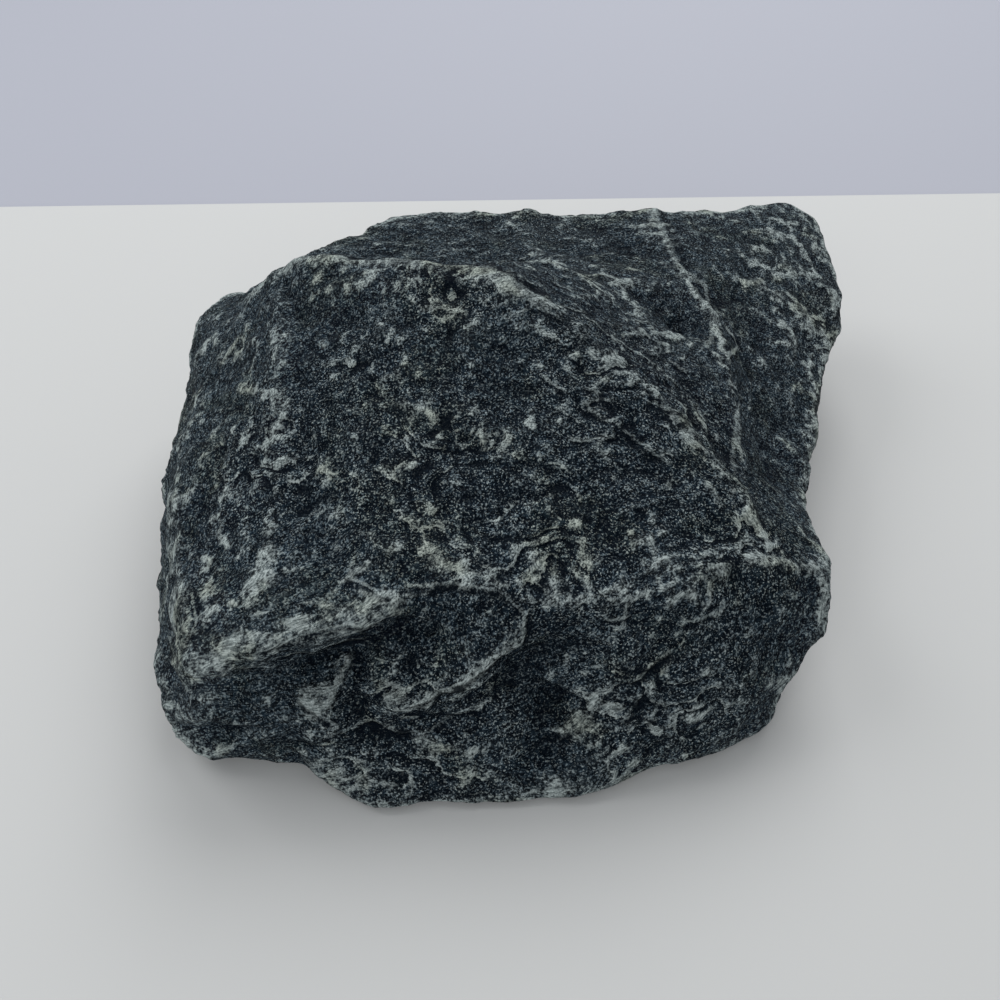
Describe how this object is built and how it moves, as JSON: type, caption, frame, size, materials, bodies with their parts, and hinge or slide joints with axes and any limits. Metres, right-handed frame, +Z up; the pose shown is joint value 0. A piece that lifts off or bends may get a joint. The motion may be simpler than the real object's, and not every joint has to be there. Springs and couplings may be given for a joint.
{
  "type": "raw dunite stone",
  "caption": "Hand-sized angular block of raw dark rock, resting flat: a broad sloping show face, a diagonal crest, an overhanging front lip and a lower shelf behind.",
  "frame": {"origin": "middle of the stone's bounding box, on the flat underside that it rests on", "axes": "+Z up from the underside, +X along the stone's longest side, to the right of the show face, +Y from the show face towards the back"},
  "size_m": [0.1818, 0.178, 0.0738],
  "materials": {
    "dunite": "matte"
  },
  "bodies": {
    "root": {"dunite": "dunite"}
  },
  "joints": []
}
